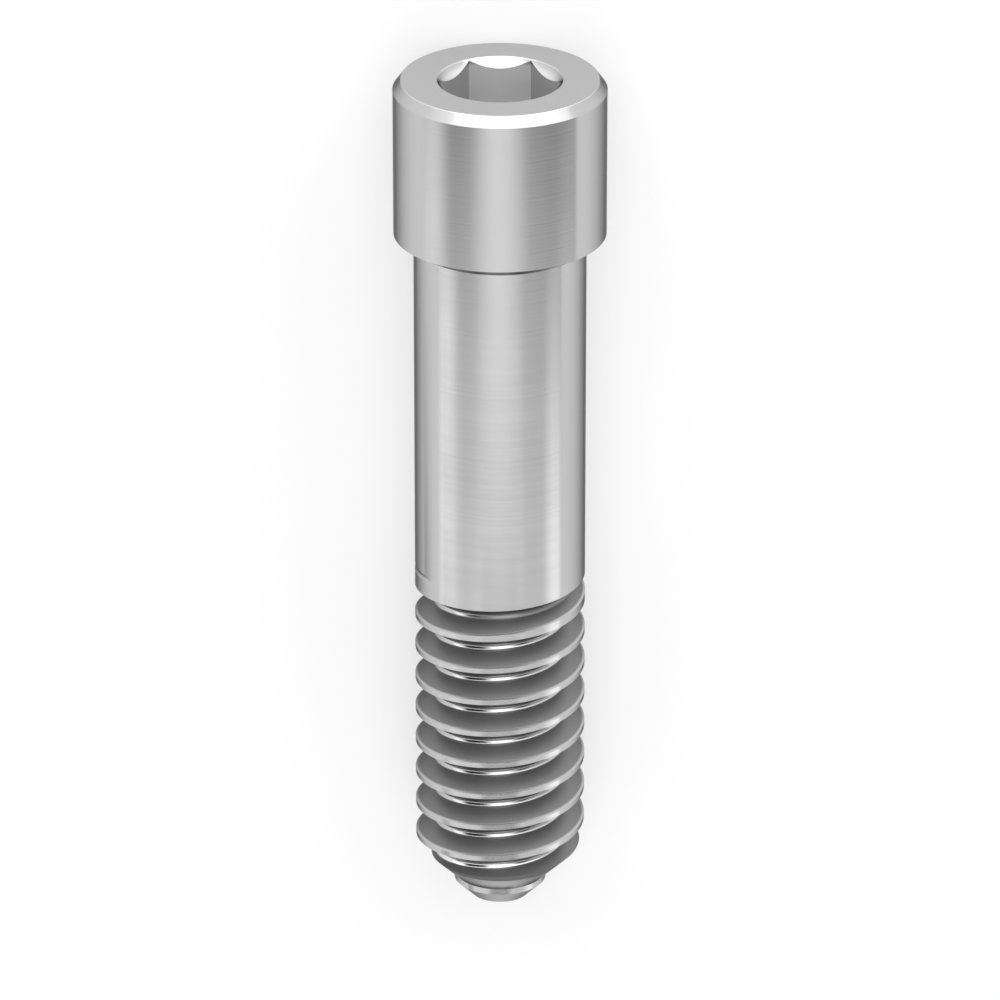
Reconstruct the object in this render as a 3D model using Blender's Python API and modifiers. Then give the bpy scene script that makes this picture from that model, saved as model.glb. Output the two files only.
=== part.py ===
# A dental abutment screw, turned from one bar of titanium alloy: a hex socket head with a
# conical seat, a plain shank, a single-start right-hand thread and a bevelled tip.
# Every size is in metres. The screw is modelled upright, its tip at the origin and its head
# up, and an empty then lays it on its side, as it comes to rest on a table.

import bpy
import bmesh
from math import atan2, cos, pi, radians, sin, tan
from mathutils import Matrix, Vector

NAME = "abutment_screw"

OVERALL_LENGTH = 0.01014

HEAD_DIAMETER = 0.0024
HEAD_HEIGHT = 0.00183
HEAD_BEVEL_WIDTH = 0.000088
HEAD_BEVEL_HEIGHT = 0.000115
SEAT_SLOPE = radians(30)

SOCKET_SIDES = 6
SOCKET_ACROSS_FLATS = 0.0012
SOCKET_DEPTH = 0.0011
COUNTERSINK_DIAMETER = 0.001413
COUNTERSINK_SLOPE = radians(45)
PILOT_DIAMETER = 0.00114
PILOT_DEPTH = 0.00118
PILOT_POINT_SLOPE = radians(31)

ROD_DIAMETER = 0.00195

THREAD_PITCH = 0.0004
THREAD_CREST = 0.000058
THREAD_FLANK_ANGLE = radians(30)
THREAD_ROOT_RADIUS = 0.000057
THREAD_LENGTH = 0.0042343          # from the tip's end to where the groove runs out
THREAD_END_AZIMUTH = radians(220)  # where it runs out, counted from +X towards +Y
RUN_OUT_TURNS = 1                  # turns over which the tool leaves the metal

TIP_END_RADIUS = 0.000341
TIP_STEP_RADIUS = 0.000531
TIP_STEP_LENGTH = 0.00007
TIP_SLOPE = radians(45)

# Two more than a multiple of four, so that a facet and not a corner faces the table.
SEGMENTS = 54
ROOT_ARC_POINTS = 5
MERGE_DISTANCE = 0.0000005
OVERCUT = 0.0002           # how far a cutter reaches out of the metal
FLANK_OVERCUT = 0.000012   # how far the groove's flanks go on outside the rod
SHARP_ANGLE = radians(25)

TITANIUM_COLOUR = (0.56, 0.56, 0.55, 1.0)
TITANIUM_ROUGHNESS = 0.24


def rod_radius():
    return ROD_DIAMETER / 2


def rim_height():
    """Height of the head's lower rim above the tip's end."""
    return OVERALL_LENGTH - HEAD_HEIGHT


def tip_heights():
    """Heights where the tip's step begins and ends, and where its bevel meets the rod."""
    step_low = (TIP_STEP_RADIUS - TIP_END_RADIUS) / tan(TIP_SLOPE)
    step_high = step_low + TIP_STEP_LENGTH
    rod_start = step_high + (rod_radius() - TIP_STEP_RADIUS) / tan(TIP_SLOPE)
    return step_low, step_high, rod_start


def clear_scene():
    for obj in list(bpy.data.objects):
        bpy.data.objects.remove(obj)


def new_collection(name):
    collection = bpy.data.collections.new(name)
    bpy.context.scene.collection.children.link(collection)
    return collection


def titanium():
    material = bpy.data.materials.new("turned_titanium_alloy")
    material.use_nodes = True
    shader = material.node_tree.nodes["Principled BSDF"]
    shader.inputs["Base Color"].default_value = TITANIUM_COLOUR
    shader.inputs["Metallic"].default_value = 1.0
    shader.inputs["Roughness"].default_value = TITANIUM_ROUGHNESS
    return material


def outline_object(name, points, closed, collection):
    """An object that holds one outline, given as (radius, height) pairs in the XZ plane."""
    mesh = bpy.data.meshes.new(name)
    bm = bmesh.new()
    corners = [bm.verts.new((radius, 0.0, height)) for radius, height in points]
    for first, second in zip(corners, corners[1:]):
        bm.edges.new((first, second))
    if closed:
        bm.edges.new((corners[-1], corners[0]))
    bm.to_mesh(mesh)
    bm.free()
    obj = bpy.data.objects.new(name, mesh)
    collection.objects.link(obj)
    return obj


def turn(obj, rise, turns):
    """Revolve an outline about Z, with a rise for each turn."""
    screw = obj.modifiers.new("turned", "SCREW")
    screw.axis = "Z"
    screw.angle = 2 * pi
    screw.screw_offset = rise
    screw.iterations = turns
    screw.steps = SEGMENTS
    screw.render_steps = SEGMENTS
    screw.use_merge_vertices = rise == 0
    screw.merge_threshold = MERGE_DISTANCE


def apply_modifiers(obj):
    graph = bpy.context.evaluated_depsgraph_get()
    mesh = bpy.data.meshes.new_from_object(obj.evaluated_get(graph))
    obj.modifiers.clear()
    obj.data = mesh


def blank_outline():
    """The turned outline, from the middle of the head's top down to the middle of the tip."""
    head_radius = HEAD_DIAMETER / 2
    seat_height = (head_radius - rod_radius()) * tan(SEAT_SLOPE)
    step_low, step_high, rod_start = tip_heights()
    return [
        (0.0, OVERALL_LENGTH),
        (head_radius - HEAD_BEVEL_WIDTH, OVERALL_LENGTH),
        (head_radius, OVERALL_LENGTH - HEAD_BEVEL_HEIGHT),
        (head_radius, rim_height()),
        (rod_radius(), rim_height() - seat_height),
        (rod_radius(), rod_start),
        (TIP_STEP_RADIUS, step_high),
        (TIP_STEP_RADIUS, step_low),
        (TIP_END_RADIUS, 0.0),
        (0.0, 0.0),
    ]


def make_blank(collection):
    blank = outline_object(NAME, blank_outline(), False, collection)
    turn(blank, 0.0, 1)
    apply_modifiers(blank)
    return blank


def groove_depth():
    """Depth of the V groove, whose root arc is tangent to both flanks."""
    half_width = (THREAD_PITCH - THREAD_CREST) / 2
    sharp_depth = half_width / tan(THREAD_FLANK_ANGLE)
    return sharp_depth - THREAD_ROOT_RADIUS / sin(THREAD_FLANK_ANGLE) + THREAD_ROOT_RADIUS


def groove_outline():
    """The groove's section: a V with a round root, closed by a box outside the rod."""
    half_width = (THREAD_PITCH - THREAD_CREST) / 2 + FLANK_OVERCUT * tan(THREAD_FLANK_ANGLE)
    flank_end = rod_radius() + FLANK_OVERCUT
    outside = rod_radius() + OVERCUT
    arc_centre = rod_radius() - groove_depth() + THREAD_ROOT_RADIUS
    reach = pi / 2 - THREAD_FLANK_ANGLE
    arc = []
    for step in range(ROOT_ARC_POINTS):
        angle = reach * (1 - 2 * step / (ROOT_ARC_POINTS - 1))
        radius = arc_centre - THREAD_ROOT_RADIUS * cos(angle)
        arc.append((radius, THREAD_ROOT_RADIUS * sin(angle)))
    upper = [(outside, half_width), (flank_end, half_width)]
    lower = [(flank_end, -half_width), (outside, -half_width)]
    return upper + arc + lower


def make_groove_cutter(collection):
    """The groove, swept up the rod, drawn out of the metal over its last turn."""
    section = groove_outline()
    turns = int(THREAD_LENGTH / THREAD_PITCH)
    cutter = outline_object("groove_cutter", section, True, collection)
    turn(cutter, THREAD_PITCH, turns)
    apply_modifiers(cutter)

    start = THREAD_LENGTH - turns * THREAD_PITCH
    depth = groove_depth() + THREAD_ROOT_RADIUS * (1 - cos(pi / SEGMENTS))
    sections = turns * SEGMENTS
    run_out = RUN_OUT_TURNS * SEGMENTS
    bm = bmesh.new()
    bm.from_mesh(cutter.data)
    bm.verts.ensure_lookup_table()
    for vert in bm.verts:
        # The sweep keeps its corners section by section, so the index gives the place along it.
        place = vert.index // len(section)
        share = max(0.0, (place - sections + run_out) / run_out)
        outward = Vector((vert.co.x, vert.co.y, 0.0)).normalized()
        vert.co += outward * depth * share
    bmesh.ops.holes_fill(bm, edges=[edge for edge in bm.edges if edge.is_boundary])
    bmesh.ops.rotate(bm, verts=bm.verts, matrix=Matrix.Rotation(THREAD_END_AZIMUTH, 3, "Z"))
    bmesh.ops.translate(bm, verts=bm.verts, vec=(0.0, 0.0, start))
    bmesh.ops.recalc_face_normals(bm, faces=bm.faces)
    bm.to_mesh(cutter.data)
    bm.free()
    return cutter


def cone_cutter(name, segments, low_radius, high_radius, low, high, collection):
    """A closed cone, prism or cylinder about Z between two heights."""
    bm = bmesh.new()
    bmesh.ops.create_cone(
        bm,
        cap_ends=True,
        segments=segments,
        radius1=low_radius,
        radius2=high_radius,
        depth=high - low,
    )
    bmesh.ops.translate(bm, verts=bm.verts, vec=(0.0, 0.0, (low + high) / 2))
    first = bm.verts[:][0]
    turn_back = Matrix.Rotation(-atan2(first.co.y, first.co.x), 3, "Z")
    bmesh.ops.rotate(bm, verts=bm.verts, matrix=turn_back)
    mesh = bpy.data.meshes.new(name)
    bm.to_mesh(mesh)
    bm.free()
    cutter = bpy.data.objects.new(name, mesh)
    collection.objects.link(cutter)
    return cutter


def make_socket_cutters(collection):
    """The hex, the pilot hole drilled before it, and the countersink at its mouth."""
    top = OVERALL_LENGTH
    above = top + OVERCUT
    corner_radius = SOCKET_ACROSS_FLATS / 2 / cos(pi / SOCKET_SIDES)
    hex_end = top - SOCKET_DEPTH
    pilot_radius = PILOT_DIAMETER / 2
    pilot_end = top - PILOT_DEPTH
    point_end = pilot_end - pilot_radius * tan(PILOT_POINT_SLOPE)
    sink_radius = COUNTERSINK_DIAMETER / 2
    sink_above = sink_radius + OVERCUT * tan(COUNTERSINK_SLOPE)
    sink_low = top - sink_radius / tan(COUNTERSINK_SLOPE)
    return [
        cone_cutter("hex_cutter", SOCKET_SIDES, corner_radius, corner_radius, hex_end, above, collection),
        cone_cutter("pilot_cutter", SEGMENTS, pilot_radius, pilot_radius, pilot_end, above, collection),
        cone_cutter("pilot_point_cutter", SEGMENTS, 0.0, pilot_radius, point_end, pilot_end, collection),
        cone_cutter("countersink_cutter", SEGMENTS, 0.0, sink_above, sink_low, above, collection),
    ]


def cut(obj, cutter, solver):
    cutter.hide_render = True
    cutter.display_type = "WIRE"
    boolean = obj.modifiers.new(cutter.name, "BOOLEAN")
    boolean.operation = "DIFFERENCE"
    boolean.solver = solver
    boolean.object = cutter


def lay_down(objects, collection):
    """Parent the upright objects to an empty that lays them on the head's rim and the thread."""
    facet = cos(pi / SEGMENTS)
    head_radius = HEAD_DIAMETER / 2
    rod_start = tip_heights()[2]
    lean = atan2((head_radius - rod_radius()) * facet, rim_height() - rod_start)
    height = rod_radius() * facet * cos(lean) - rod_start * sin(lean)
    top_reach = OVERALL_LENGTH * cos(lean) + (head_radius - HEAD_BEVEL_WIDTH) * facet * sin(lean)
    tip_reach = -TIP_END_RADIUS * facet * sin(lean)
    empty = bpy.data.objects.new("laid_on_its_side", None)
    collection.objects.link(empty)
    empty.rotation_euler = (lean - pi / 2, 0.0, 0.0)
    empty.location = (0.0, -(top_reach + tip_reach) / 2, height)
    for obj in objects:
        obj.parent = empty


def main():
    clear_scene()
    parts = new_collection("dental_implant_screw")
    cutters = new_collection("cutters")
    screw = make_blank(parts)
    screw.data.materials.append(titanium())
    groove = make_groove_cutter(cutters)
    socket = make_socket_cutters(cutters)
    # At some sizes the exact solver leaves the rod open where the groove meets its facets.
    cut(screw, groove, "MANIFOLD")
    for cutter in socket:
        cut(screw, cutter, "EXACT")
    screw.data.shade_smooth()
    screw.data.set_sharp_from_angle(angle=SHARP_ANGLE)
    lay_down([screw, groove] + socket, parts)


main()
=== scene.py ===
from math import atan2, cos, pi, radians, sin, tan

import bmesh
import bpy
from mathutils import Matrix, Vector


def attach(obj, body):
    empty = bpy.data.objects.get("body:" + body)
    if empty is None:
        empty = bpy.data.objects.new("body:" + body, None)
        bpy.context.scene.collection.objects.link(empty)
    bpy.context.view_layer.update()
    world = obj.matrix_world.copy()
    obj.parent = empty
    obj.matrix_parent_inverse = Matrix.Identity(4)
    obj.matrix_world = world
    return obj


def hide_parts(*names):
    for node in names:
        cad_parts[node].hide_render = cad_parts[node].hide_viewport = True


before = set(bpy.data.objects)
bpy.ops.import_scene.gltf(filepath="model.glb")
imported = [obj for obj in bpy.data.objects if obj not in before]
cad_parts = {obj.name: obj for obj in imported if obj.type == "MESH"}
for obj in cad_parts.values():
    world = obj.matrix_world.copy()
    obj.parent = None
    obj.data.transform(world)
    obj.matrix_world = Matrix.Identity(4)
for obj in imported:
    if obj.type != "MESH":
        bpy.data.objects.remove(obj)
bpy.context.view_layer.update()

# A dental abutment screw, turned from one bar of titanium alloy. It lies on its side on a pale
# table, on the rim of its head and on the last crests of its thread. Every length is in metres.
# The screw is first made upright, with its tip at the origin, and laid down at the end.

# The turned body.
LENGTH = 0.01014
HEAD_RADIUS = 0.0012
HEAD_HEIGHT = 0.00183
HEAD_BEVEL_WIDTH = 0.000088
HEAD_BEVEL_HEIGHT = 0.000115
SEAT_SLOPE = radians(30)
ROD_RADIUS = 0.000975

# The socket: a broached hexagon, its countersink, and the pilot hole with its drill point.
HEX_SIDES = 6
HEX_RADIUS = 0.0006 / cos(pi / HEX_SIDES)
HEX_DEPTH = 0.0011
SINK_RADIUS = 0.0007065
PILOT_RADIUS = 0.00057
PILOT_DEPTH = 0.00118
PILOT_POINT = radians(31)

# The thread: a 60 degree V with a round root and a flat crest.
PITCH = 0.0004
CREST = 0.000058
FLANK = radians(30)
ROOT_RADIUS = 0.000057
GROOVE_START = 0.0002343
FULL_TURNS = 9
GROOVE_AZIMUTH = radians(220)

# The tip: two 45 degree bevels with a short step between them.
TIP_RADIUS = 0.000341
STEP_RADIUS = 0.000531
STEP_LENGTH = 0.00007

# How finely the round shapes are divided, how far a cutter stands outside the metal, and how near
# two points must be to become one.
SEGMENTS = 216
HALF_STEP = pi / SEGMENTS
ROOT_POINTS = 13
OVERCUT = 0.0002
FLANK_OVERCUT = 0.000012
MERGE = 0.00000001
SEAM_MERGE = 0.0000005
SHARP = radians(25)
FULL_CIRCLE = 2 * pi
AXIS = (0.0, 0.0, 1.0)
CENTRE = (0.0, 0.0, 0.0)
UP = Vector(AXIS)

# The camera looks down from the head's side, at the photograph's angle.
CAMERA_TILT = radians(-22.891)
CAMERA_DISTANCE = 0.08859
CAMERA_TARGET = Vector((0.0, -0.0000955, 0.0010993))
CAMERA_LENS = 279.5
CAMERA_NEAR = 0.001
CAMERA_FAR = 10.0

# The looks of the bar, and of the zones that lie over it as painted light and painted shade. Each
# zone is a ring in the upright screw: its span of radius and of height, each with the length over
# which its edge fades.
BAR_COLOUR = "#C6C6C6"
# Painted shade: the flanks of the thread are coloured darker than the bar, for the shade in the
# grooves.
GROOVE_PAINTED_SHADE = "#8F8F8F"
# Painted light: the walls of the socket are coloured lighter than the bar, to brighten the hollow.
SOCKET_PAINTED_LIGHT = "#ECECEC"
# Painted light: the top face is coloured lighter than the bar.
TOP_PAINTED_LIGHT = "#E4E4E4"
# Painted light: both bevels of the tip are coloured lighter than the bar.
TIP_PAINTED_LIGHT = "#E8E8E8"
BAR_ROUGHNESS = 0.125
FLANK_ROUGHNESS = 0.395
SOCKET_ROUGHNESS = 0.385
NO_LIMIT = 1.0  # a metre, past every part of the screw
EVERYWHERE = (-NO_LIMIT, NO_LIMIT, 0.001)
BETWEEN_ROOT_AND_CREST = (0.000757, 0.00095, 0.00001)
WITHIN_THE_ROOT = (-NO_LIMIT, 0.000752, 0.000005)
WITHIN_THE_SOCKET = (-NO_LIMIT, 0.0007015, 0.000005)
UP_TO_THE_THREAD_END = (-NO_LIMIT, 0.004105, 0.000005)
BELOW_THE_COUNTERSINK = (LENGTH / 2, LENGTH - 0.00005, 0.00004)
TOP_FACE = (LENGTH - 0.0000075, NO_LIMIT, 0.0000025)
UPPER_TIP_BEVEL = (0.000262, 0.000699, 0.000003)
LOWER_TIP_BEVEL = (-NO_LIMIT, 0.000188, 0.000003)
PAINTED_ZONES = [
    ("painted groove shade", BETWEEN_ROOT_AND_CREST, UP_TO_THE_THREAD_END, GROOVE_PAINTED_SHADE, FLANK_ROUGHNESS),
    ("painted socket light", WITHIN_THE_SOCKET, BELOW_THE_COUNTERSINK, SOCKET_PAINTED_LIGHT, SOCKET_ROUGHNESS),
    ("painted top light", EVERYWHERE, TOP_FACE, TOP_PAINTED_LIGHT, BAR_ROUGHNESS),
    ("painted light, upper bevel", WITHIN_THE_ROOT, UPPER_TIP_BEVEL, TIP_PAINTED_LIGHT, BAR_ROUGHNESS),
    ("painted light, lower bevel", EVERYWHERE, LOWER_TIP_BEVEL, TIP_PAINTED_LIGHT, BAR_ROUGHNESS),
]

# The bar darkens at the very edge of its outline, where it is seen at a grazing angle.
EDGE_TINT = (0.2, 0.2, 0.2, 1.0)

# Turning leaves rings about 0.01 mm apart. They are drawn 0.03 mm apart, so that they can be seen.
LAY_SPACING = 0.00003
LAY_DEPTH = 0.0000001
LAY_ROUGHNESS = 0.05

# Handling leaves clouds about half a millimetre wide in the shine.
STAIN_SPACING = 0.0006
STAIN_ROUGHNESS = 0.04

# The white card that the screw lies on. FLOOR_GLOW is the share of its white that is its own.
FLOOR_HALF = 0.6
FLOOR_COLOUR = "#F2F2F2"
FLOOR_ROUGHNESS = 0.9
FLOOR_GLOW = 0.45

# Soft boxes in a dark room, far off: the span of azimuth and of elevation, in degrees, each with
# the softness of its edges, and the strength. Azimuth 0 is straight up and 90 is the right of the
# picture. Elevation 90 is the way that the head points, and -90 the way that the tip points.
SOFTBOXES = [
    ("head end left", (-200, -60, 10), (28, 100, 12), 1.3),
    ("head end front", (-60, 60, 10), (28, 100, 12), 2.1),
    ("head end right", (60, 200, 10), (28, 100, 12), 1.8),
    ("front strip", (-20, 18, 15), (-21, 28, 2), 2.5),
    ("left side", (-200, -68, 8), (-14, 28, 5), 1.7),
    ("right side", (48, 200, 8), (-12, 28, 5), 0.65),
    ("right upper", (20, 48, 8), (8, 28, 10), 0.75),
    ("low ring", (-200, 200, 1), (-27.2, -23.4, 1.5), 1.05),
    ("low ring front", (-27, 27, 10), (-27.1, -25.4, 1.2), 1.45),
    ("low ring left", (-200, -64, 14), (-26, -19.5, 1.5), 0.9),
    ("low ring right", (68, 200, 10), (-28, -25, 0.8), 1.2),
    ("horizon right", (78, 200, 12), (-24, -12, 3), 0.3),
    ("under left", (-74, -26, 8), (-36, -27, 2), 1.1),
    ("under right", (25, 200, 8), (-36, -27, 2), 0.95),
    ("under front", (-26, 20, 8), (-50, -36, 5), 1.6),
    ("low right", (48, 200, 10), (-100, -40, 6), 1.85),
    ("low left", (-200, 48, 10), (-100, -38, 4), 0.7),
]


def linear(code):
    """An sRGB hex colour as linear light, with alpha."""
    shares = [int(code[place:place + 2], 16) / 255 for place in (1, 3, 5)]
    light = [
        share / 12.92 if share <= 0.04045 else ((share + 0.055) / 1.055) ** 2.4 for share in shares
    ]
    return (*light, 1.0)


def wire(points, closed):
    """A bmesh that holds one outline, given as radius and height, in the plane of X and Z."""
    bm = bmesh.new()
    corners = [bm.verts.new((radius, 0.0, height)) for radius, height in points]
    edges = [bm.edges.new(pair) for pair in zip(corners, corners[1:])]
    if closed:
        edges.append(bm.edges.new((corners[-1], corners[0])))
    return bm, corners, edges


def as_object(bm, name):
    mesh = bpy.data.meshes.new(name)
    bm.to_mesh(mesh)
    bm.free()
    obj = bpy.data.objects.new(name, mesh)
    bpy.context.scene.collection.objects.link(obj)
    return obj


def rod_end():
    """Height where the tip's bevel meets the rod."""
    return ROD_RADIUS - TIP_RADIUS + STEP_LENGTH


def screw_outline():
    """The turned outline, from the middle of the head's top down to the middle of the tip."""
    rim = LENGTH - HEAD_HEIGHT
    seat = rim - (HEAD_RADIUS - ROD_RADIUS) * tan(SEAT_SLOPE)
    return [
        (0.0, LENGTH),
        (HEAD_RADIUS - HEAD_BEVEL_WIDTH, LENGTH),
        (HEAD_RADIUS, LENGTH - HEAD_BEVEL_HEIGHT),
        (HEAD_RADIUS, rim),
        (ROD_RADIUS, seat),
        (ROD_RADIUS, rod_end()),
        (STEP_RADIUS, STEP_RADIUS - TIP_RADIUS + STEP_LENGTH),
        (STEP_RADIUS, STEP_RADIUS - TIP_RADIUS),
        (TIP_RADIUS, 0.0),
        (0.0, 0.0),
    ]


def turned_blank():
    """The screw before its thread and its socket are cut."""
    bm, corners, edges = wire(screw_outline(), False)
    # Half a step of turn keeps the rod's facets from lining up with the groove's.
    bmesh.ops.rotate(bm, verts=corners, cent=CENTRE, matrix=Matrix.Rotation(HALF_STEP, 3, "Z"))
    bmesh.ops.spin(
        bm, geom=corners + edges, cent=CENTRE, axis=AXIS,
        angle=FULL_CIRCLE, steps=SEGMENTS, use_merge=True,
    )
    bmesh.ops.remove_doubles(bm, verts=bm.verts, dist=MERGE)
    bmesh.ops.recalc_face_normals(bm, faces=bm.faces)
    return as_object(bm, "abutment_screw_turned")


def groove_section():
    """A V with a round root, closed by a box outside the rod, and the depth of its root."""
    half = (PITCH - CREST) / 2
    depth = half / tan(FLANK) - ROOT_RADIUS / sin(FLANK) + ROOT_RADIUS
    half += FLANK_OVERCUT * tan(FLANK)
    flank_end = ROD_RADIUS + FLANK_OVERCUT
    outside = ROD_RADIUS + OVERCUT
    points = [(outside, half), (flank_end, half)]
    for step in range(ROOT_POINTS):
        angle = (pi / 2 - FLANK) * (1 - 2 * step / (ROOT_POINTS - 1))
        radius = ROD_RADIUS - depth + ROOT_RADIUS * (1 - cos(angle))
        points.append((radius, ROOT_RADIUS * sin(angle)))
    points += [(flank_end, -half), (outside, -half)]
    return points, depth


def groove_cutter():
    """The groove: one turn swept up the rod and repeated below, and a last turn drawn outwards."""
    points, depth = groove_section()
    bm, corners, edges = wire(points, True)
    rise = UP * PITCH / SEGMENTS
    low = Matrix.Translation(UP * (GROOVE_START + PITCH * (FULL_TURNS - 1)))
    bmesh.ops.transform(bm, matrix=low @ Matrix.Rotation(GROOVE_AZIMUTH, 4, "Z"), verts=corners)
    swept = bmesh.ops.spin(
        bm, geom=corners + edges, cent=CENTRE, axis=AXIS,
        dvec=rise, angle=FULL_CIRCLE, steps=SEGMENTS,
    )
    ring = [part for part in swept["geom_last"] if isinstance(part, bmesh.types.BMEdge)]
    full_turn = bm.verts[:] + bm.edges[:] + bm.faces[:]
    step_turn = Matrix.Rotation(FULL_CIRCLE / SEGMENTS, 3, "Z")
    for step in range(SEGMENTS):
        grown = bmesh.ops.extrude_edge_only(bm, edges=ring)["geom"]
        verts = {part for part in grown if isinstance(part, bmesh.types.BMVert)}
        new_edges = [part for part in grown if isinstance(part, bmesh.types.BMEdge)]
        ring = [edge for edge in new_edges if verts.issuperset(edge.verts)]
        azimuth = GROOVE_AZIMUTH + FULL_CIRCLE * (step + 1) / SEGMENTS
        outward = Vector((cos(azimuth), sin(azimuth), 0.0))
        bmesh.ops.rotate(bm, verts=list(verts), cent=CENTRE, matrix=step_turn)
        bmesh.ops.translate(bm, verts=list(verts), vec=rise + outward * depth / SEGMENTS)
    for turn in range(1, FULL_TURNS):
        copied = bmesh.ops.duplicate(bm, geom=full_turn)["geom"]
        verts = [part for part in copied if isinstance(part, bmesh.types.BMVert)]
        bmesh.ops.translate(bm, verts=verts, vec=-UP * PITCH * turn)
    bmesh.ops.remove_doubles(bm, verts=bm.verts, dist=SEAM_MERGE)
    bmesh.ops.holes_fill(bm, edges=[edge for edge in bm.edges if edge.is_boundary])
    bmesh.ops.recalc_face_normals(bm, faces=bm.faces)
    return as_object(bm, "groove_cutter")


def cone_cutter(name, segments, low_radius, high_radius, low, high):
    """A closed cone, prism or cylinder about the axis, with a corner on the X axis."""
    bm = bmesh.new()
    bmesh.ops.create_cone(
        bm, cap_ends=True, segments=segments,
        radius1=low_radius, radius2=high_radius, depth=high - low,
    )
    first = bm.verts[:][0]
    turn = Matrix.Rotation(-atan2(first.co.y, first.co.x), 3, "Z")
    bmesh.ops.rotate(bm, verts=bm.verts, matrix=turn)
    bmesh.ops.translate(bm, verts=bm.verts, vec=(0.0, 0.0, (low + high) / 2))
    return as_object(bm, name)


def socket_cutters():
    """The hex, the drilled pilot hole with its pointed end, and the countersink."""
    above = LENGTH + OVERCUT
    drilled = LENGTH - PILOT_DEPTH
    point = drilled - PILOT_RADIUS * tan(PILOT_POINT)
    wide, sunk = SINK_RADIUS + OVERCUT, LENGTH - SINK_RADIUS
    return [
        cone_cutter("hex_cutter", HEX_SIDES, HEX_RADIUS, HEX_RADIUS, LENGTH - HEX_DEPTH, above),
        cone_cutter("pilot_cutter", SEGMENTS, PILOT_RADIUS, PILOT_RADIUS, drilled, above),
        cone_cutter("point_cutter", SEGMENTS, 0.0, PILOT_RADIUS, point, drilled),
        cone_cutter("countersink_cutter", SEGMENTS, 0.0, wide, sunk, above),
    ]


def cut(obj, cutters, solver):
    """Cut each cutter out of the object's mesh, and remove the cutters."""
    for cutter in cutters:
        boolean = obj.modifiers.new(cutter.name, "BOOLEAN")
        boolean.operation = "DIFFERENCE"
        boolean.solver = solver
        boolean.object = cutter
    graph = bpy.context.evaluated_depsgraph_get()
    mesh = bpy.data.meshes.new_from_object(obj.evaluated_get(graph))
    mesh.materials.clear()
    bm = bmesh.new()
    bm.from_mesh(mesh)
    bmesh.ops.remove_doubles(bm, verts=bm.verts, dist=MERGE)
    bm.to_mesh(mesh)
    bm.free()
    obj.modifiers.clear()
    obj.data = mesh
    for cutter in cutters:
        bpy.data.meshes.remove(cutter.data)


def resting_place():
    """The turn and shift that lay the upright screw on the head's rim and the thread."""
    lean = atan2(HEAD_RADIUS - ROD_RADIUS, LENGTH - HEAD_HEIGHT - rod_end())
    height = ROD_RADIUS * cos(lean) - rod_end() * sin(lean)
    top_reach = LENGTH * cos(lean) + (HEAD_RADIUS - HEAD_BEVEL_WIDTH) * sin(lean)
    tip_reach = -TIP_RADIUS * sin(lean)
    shift = Matrix.Translation((0.0, -(top_reach + tip_reach) / 2, height))
    return shift @ Matrix.Rotation(lean - pi / 2, 4, "X")


def make_screw():
    screw = turned_blank()
    cut(screw, socket_cutters(), "EXACT")
    cut(screw, [groove_cutter()], "MANIFOLD")
    screw.data.transform(resting_place())
    screw.data.shade_smooth()
    screw.data.set_sharp_from_angle(angle=SHARP)
    return screw


def add_node(tree, kind, settings, links):
    """Add a node, set its properties, and give each input a value or a link."""
    node = tree.nodes.new(kind)
    for name, value in settings.items():
        setattr(node, name, value)
    for place, value in links.items():
        if isinstance(value, bpy.types.NodeSocket):
            tree.links.new(value, node.inputs[place])
        else:
            node.inputs[place].default_value = value
    return node


def share_inside(tree, value, low, high, soft):
    """A share that is 1 from low to high and 0 outside, and changes smoothly at both ends."""
    smooth = {"interpolation_type": "SMOOTHSTEP"}
    shares = {}
    for place, (start, end) in enumerate(((low - soft, low + soft), (high + soft, high - soft))):
        span = {"Value": value, "From Min": start, "From Max": end}
        shares[place] = add_node(tree, "ShaderNodeMapRange", smooth, span).outputs[0]
    return add_node(tree, "ShaderNodeMath", {"operation": "MULTIPLY"}, shares).outputs[0]


def new_material(name):
    material = bpy.data.materials.new(name)
    material.use_nodes = True
    return material, material.node_tree, material.node_tree.nodes["Principled BSDF"]


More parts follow.
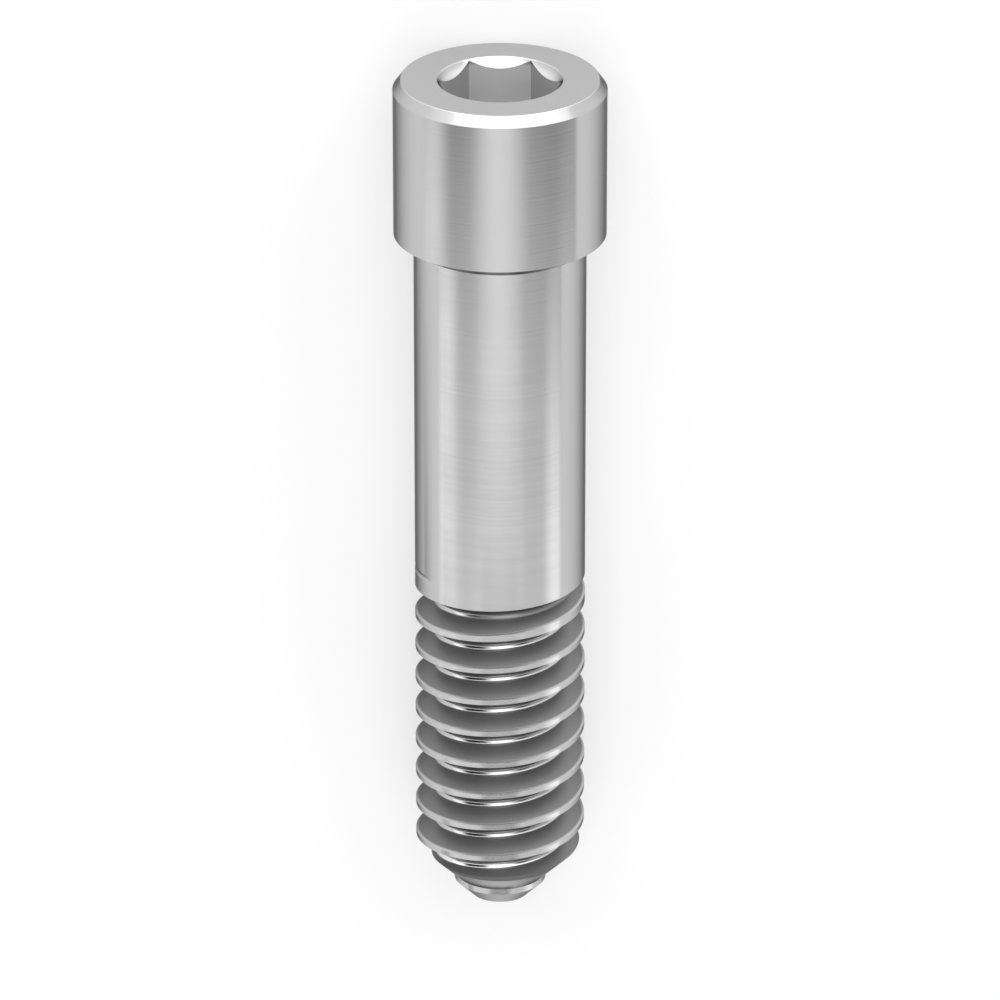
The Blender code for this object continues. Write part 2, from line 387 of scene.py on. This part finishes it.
def titanium():
    """Titanium alloy as it comes off a fine lathe.

    The bar is smooth, with faint rings round its axis. The thread's flanks are cut across the
    grain and look softer, and their darker colour is painted shade in the grooves. The broached
    socket scatters light, and its lighter walls are painted light in the hollow. The top face,
    faced on the lathe, and the tip bevels are coloured lighter than the bar, as painted light.
    """
    material, tree, shader = new_material("turned_titanium_alloy")
    place = resting_place()
    points = add_node(tree, "ShaderNodeTexCoord", {}, {}).outputs["Object"]
    stood_up = {"Vector": points, "Location": place.to_translation(), "Rotation": place.to_euler()}
    upright = add_node(tree, "ShaderNodeMapping", {"vector_type": "TEXTURE"}, stood_up).outputs[0]
    height = add_node(tree, "ShaderNodeSeparateXYZ", {}, {0: upright}).outputs["Z"]
    level = {0: upright, 1: (1.0, 1.0, 0.0)}
    flat = add_node(tree, "ShaderNodeVectorMath", {"operation": "MULTIPLY"}, level).outputs[0]
    reach = add_node(tree, "ShaderNodeVectorMath", {"operation": "LENGTH"}, {0: flat})
    radius = reach.outputs["Value"]

    colour, rough = linear(BAR_COLOUR), BAR_ROUGHNESS
    # Each zone lays painted light over the bar's own colour, and on the flanks painted shade.
    for name, radii, heights, painted_colour, zone_rough in PAINTED_ZONES:
        shares = {0: share_inside(tree, radius, *radii), 1: share_inside(tree, height, *heights)}
        named = {"operation": "MULTIPLY", "label": name}
        zone = add_node(tree, "ShaderNodeMath", named, shares).outputs[0]
        colours = {0: zone, 6: colour, 7: linear(painted_colour)}
        colour = add_node(tree, "ShaderNodeMix", {"data_type": "RGBA"}, colours).outputs[2]
        rough = add_node(tree, "ShaderNodeMix", {}, {0: zone, 2: rough, 3: zone_rough}).outputs[0]

    rings = add_node(tree, "ShaderNodeCombineXYZ", {}, {"X": radius, "Y": height}).outputs[0]
    fine = {"Vector": rings, "Scale": 1 / LAY_SPACING}
    lay = add_node(tree, "ShaderNodeTexNoise", {}, fine).outputs[0]
    broad = {"Vector": upright, "Scale": 1 / STAIN_SPACING}
    stain = add_node(tree, "ShaderNodeTexNoise", {}, broad).outputs[0]
    for pattern, amount in ((lay, LAY_ROUGHNESS), (stain, STAIN_ROUGHNESS)):
        terms = {0: pattern, 1: amount, 2: rough}
        rough = add_node(tree, "ShaderNodeMath", {"operation": "MULTIPLY_ADD"}, terms).outputs[0]
    bump = add_node(tree, "ShaderNodeBump", {}, {"Height": lay, "Distance": LAY_DEPTH}).outputs[0]

    tree.links.new(colour, shader.inputs["Base Color"])
    tree.links.new(rough, shader.inputs["Roughness"])
    tree.links.new(bump, shader.inputs["Normal"])
    shader.inputs["Metallic"].default_value = 1.0
    shader.inputs["Specular Tint"].default_value = EDGE_TINT
    return material


def make_floor():
    """A large matt white card, which stays white to the camera and in the metal."""
    bm = bmesh.new()
    bmesh.ops.create_grid(bm, x_segments=1, y_segments=1, size=FLOOR_HALF)
    floor = as_object(bm, "floor")
    material, tree, shader = new_material("matt_white_card")
    shader.inputs["Base Color"].default_value = linear(FLOOR_COLOUR)
    shader.inputs["Roughness"].default_value = FLOOR_ROUGHNESS
    rays = add_node(tree, "ShaderNodeLightPath", {}, {}).outputs
    seen = rays["Is Camera Ray"]
    for name in ("Is Glossy Ray", "Is Transmission Ray"):
        either = {0: seen, 1: rays[name]}
        seen = add_node(tree, "ShaderNodeMath", {"operation": "MAXIMUM"}, either).outputs[0]
    part = {0: seen, 1: FLOOR_GLOW}
    share = add_node(tree, "ShaderNodeMath", {"operation": "MULTIPLY"}, part).outputs[0]
    glow = add_node(tree, "ShaderNodeEmission", {}, {"Strength": 1.0}).outputs[0]
    both = {0: share, 1: shader.outputs[0], 2: glow}
    card = add_node(tree, "ShaderNodeMixShader", {}, both).outputs[0]
    tree.links.new(card, tree.nodes["Material Output"].inputs["Surface"])
    floor.data.materials.append(material)


def make_camera():
    data = bpy.data.cameras.new("camera")
    camera = bpy.data.objects.new("camera", data)
    bpy.context.scene.collection.objects.link(camera)
    data.lens = CAMERA_LENS
    data.clip_start = CAMERA_NEAR
    data.clip_end = CAMERA_FAR
    camera.rotation_euler = (CAMERA_TILT, 0.0, 0.0)
    back = Matrix.Rotation(CAMERA_TILT, 3, "X") @ UP
    camera.location = CAMERA_TARGET + back * CAMERA_DISTANCE
    bpy.context.scene.camera = camera


def light_studio():
    """The dark room with its soft boxes, as the light that comes from far off on every side."""
    world = bpy.data.worlds.new("studio")
    bpy.context.scene.world = world
    world.use_nodes = True
    tree = world.node_tree
    way = add_node(tree, "ShaderNodeTexCoord", {}, {}).outputs["Generated"]
    parts = add_node(tree, "ShaderNodeSeparateXYZ", {}, {0: way}).outputs
    sides = {0: parts["X"], 1: parts["Z"]}
    turn = add_node(tree, "ShaderNodeMath", {"operation": "ARCTAN2"}, sides).outputs[0]
    rise = add_node(tree, "ShaderNodeMath", {"operation": "ARCSINE"}, {0: parts["Y"]}).outputs[0]
    azimuth, elevation = [
        add_node(tree, "ShaderNodeMath", {"operation": "DEGREES"}, {0: angle}).outputs[0]
        for angle in (turn, rise)
    ]
    light = 0.0
    for name, around, along, strength in SOFTBOXES:
        shares = {0: share_inside(tree, azimuth, *around), 1: share_inside(tree, elevation, *along)}
        named = {"operation": "MULTIPLY", "label": name}
        box = add_node(tree, "ShaderNodeMath", named, shares).outputs[0]
        terms = {0: box, 1: strength, 2: light}
        light = add_node(tree, "ShaderNodeMath", {"operation": "MULTIPLY_ADD"}, terms).outputs[0]
    background = tree.nodes["Background"]
    background.inputs["Color"].default_value = linear("#FFFFFF")
    tree.links.new(light, background.inputs["Strength"])


screw = make_screw()
screw.data.materials.append(titanium())
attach(screw, "root")
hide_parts("abutment_screw")
make_floor()
make_camera()
light_studio()
bpy.context.scene.view_settings.view_transform = "Standard"
